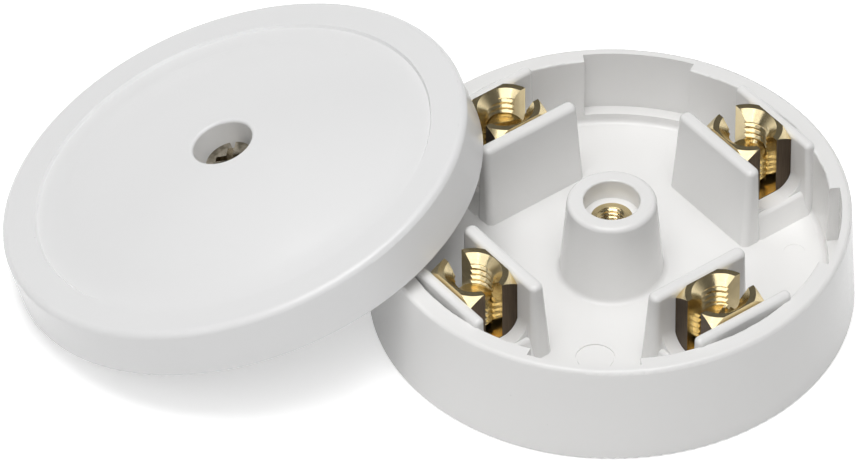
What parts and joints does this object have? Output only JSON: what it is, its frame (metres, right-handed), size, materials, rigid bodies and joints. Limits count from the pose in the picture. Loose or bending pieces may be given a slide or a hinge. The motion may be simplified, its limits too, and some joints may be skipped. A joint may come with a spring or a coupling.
{
  "type": "round junction box",
  "caption": "Round plastic junction box with knock-out cable entries and brass terminals; its domed cover with a captive screw leans on it.",
  "frame": {"origin": "centre of the base's back face, on the surface that it lies on or is fixed to", "axes": "+Z out of the back face along the base's axis; the knock-out entries face +X, +Y, -X and -Y; the cover lies towards -X"},
  "size_m": [0.1436, 0.0824, 0.033],
  "materials": {
    "white_plastic": "glossy moulded urea, warm white",
    "brass": "turned and milled, bright",
    "plated_screw": "nickel plated, satin"
  },
  "bodies": {
    "box": {"base": "white_plastic", "cover": "white_plastic", "post_insert": "brass", "terminal_block_1": "brass", "terminal_block_2": "brass", "terminal_block_3": "brass", "terminal_block_4": "brass"},
    "cover_screw": {"cover_screw": "plated_screw"},
    "terminal_screw_1": {"terminal_screw_1": "brass"},
    "terminal_screw_2": {"terminal_screw_2": "brass"},
    "terminal_screw_3": {"terminal_screw_3": "brass"},
    "terminal_screw_4": {"terminal_screw_4": "brass"}
  },
  "joints": [
    {"name": "cover_screw_turn", "type": "hinge", "parent": "box", "child": "cover_screw", "pos_m": [-0.0612, 0.00027, 0.01225], "axis": [-0.2992, 0.0013, 0.9542], "continuous": true},
    {"name": "terminal_screw_1_drive", "type": "slide", "parent": "box", "child": "terminal_screw_1", "axis": [0, 0, 1], "range_m": [-0.0012, 0.0036]},
    {"name": "terminal_screw_2_drive", "type": "slide", "parent": "box", "child": "terminal_screw_2", "axis": [0, 0, 1], "range_m": [-0.0024, 0.0024]},
    {"name": "terminal_screw_3_drive", "type": "slide", "parent": "box", "child": "terminal_screw_3", "axis": [0, 0, 1], "range_m": [-0.0012, 0.0036]},
    {"name": "terminal_screw_4_drive", "type": "slide", "parent": "box", "child": "terminal_screw_4", "axis": [0, 0, 1], "range_m": [-0.0012, 0.0036]}
  ]
}
